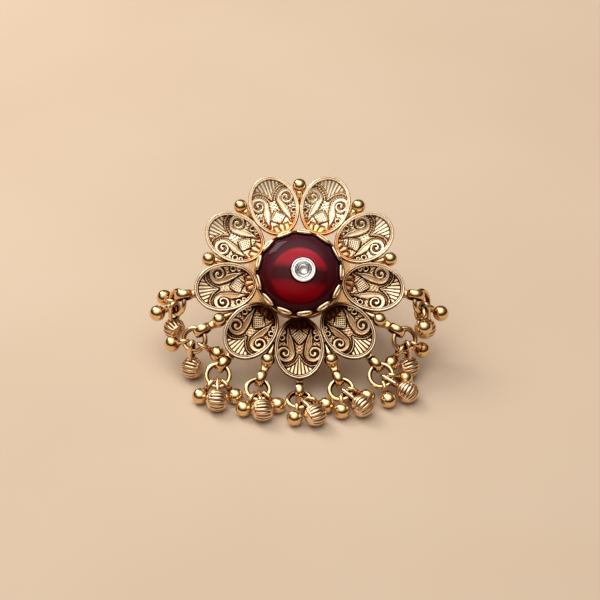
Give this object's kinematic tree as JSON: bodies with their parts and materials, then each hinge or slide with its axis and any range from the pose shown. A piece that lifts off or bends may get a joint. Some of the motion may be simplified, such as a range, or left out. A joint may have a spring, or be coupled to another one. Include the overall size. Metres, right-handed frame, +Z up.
{
  "type": "finger ring",
  "caption": "Dress ring: a flower head of cupped relief petals round a red cabochon with a small clear stone, fringed with fluted and plain bead drops on jump rings.",
  "frame": {"origin": "middle of the underside of the ring's box, as it lies at rest on its band's back and its front drops", "axes": "+Z up; +X to the right along the widest way across the drops; the flower faces up and towards -Y, tipped 42 degrees forward from level, and the finger hole rises at 42 degrees towards +Y"},
  "size_m": [0.051, 0.037, 0.0274],
  "materials": {
    "gold": "polished gold plating over cast brass, dark brown in its recesses",
    "pale_gold": "polished pale gold plating",
    "silver": "polished silver",
    "red_glass": "polished deep red glass over a dark foil",
    "clear_glass": "polished clear glass, faceted"
  },
  "bodies": {
    "root": {"ring_mount": "gold", "center_stone": "red_glass", "accent_collet": "silver", "accent_stone": "clear_glass", "jump_ring_1": "pale_gold", "jump_ring_2": "pale_gold", "jump_ring_3": "pale_gold", "jump_ring_4": "pale_gold", "jump_ring_5": "pale_gold", "jump_ring_6": "pale_gold", "jump_ring_7": "pale_gold", "jump_ring_8": "pale_gold", "jump_ring_9": "pale_gold", "fluted_drop_1": "gold", "fluted_drop_2": "gold", "fluted_drop_3": "gold", "fluted_drop_4": "gold", "fluted_drop_5": "gold", "fluted_drop_6": "gold", "fluted_drop_7": "gold", "fluted_drop_8": "gold", "fluted_drop_9": "gold", "plain_drop_1": "pale_gold", "plain_drop_2": "pale_gold", "plain_drop_3": "pale_gold", "plain_drop_4": "pale_gold", "plain_drop_5": "pale_gold", "plain_drop_6": "pale_gold", "plain_drop_7": "pale_gold", "plain_drop_8": "pale_gold", "plain_drop_9": "pale_gold", "plain_drop_10": "pale_gold", "plain_drop_11": "pale_gold", "plain_drop_12": "pale_gold", "plain_drop_13": "pale_gold", "plain_drop_14": "pale_gold", "plain_drop_15": "pale_gold", "plain_drop_16": "pale_gold", "plain_drop_17": "pale_gold", "plain_drop_18": "pale_gold"}
  },
  "joints": []
}
